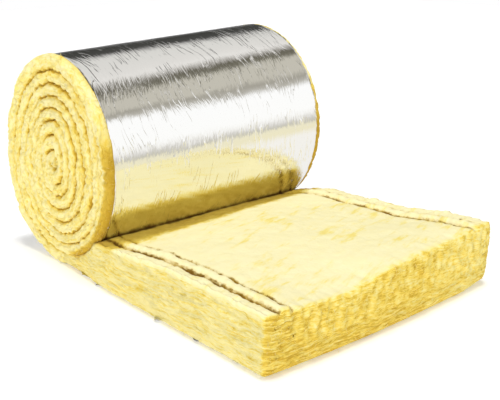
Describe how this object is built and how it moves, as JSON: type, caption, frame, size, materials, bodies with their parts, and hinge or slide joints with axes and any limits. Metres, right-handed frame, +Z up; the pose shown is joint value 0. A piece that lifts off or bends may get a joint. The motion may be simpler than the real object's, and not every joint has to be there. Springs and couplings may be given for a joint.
{
  "type": "insulation roll",
  "caption": "Roll of soft mineral-wool insulation blanket with a bright foil facing, its outer end unrolled flat on the floor.",
  "frame": {"origin": "on the floor under the centre of the whole part, roll and unrolled end together", "axes": "+X along the roll towards its far end, -Y the way the unrolled end points, +Z up"},
  "size_m": [0.65, 0.9964, 0.5115],
  "materials": {
    "wool": "soft pale yellow glass fibre, matte",
    "foil": "bright smooth foil with fine creases"
  },
  "bodies": {
    "root": {"wool_blanket": "wool", "foil_facing": "foil"}
  },
  "joints": []
}
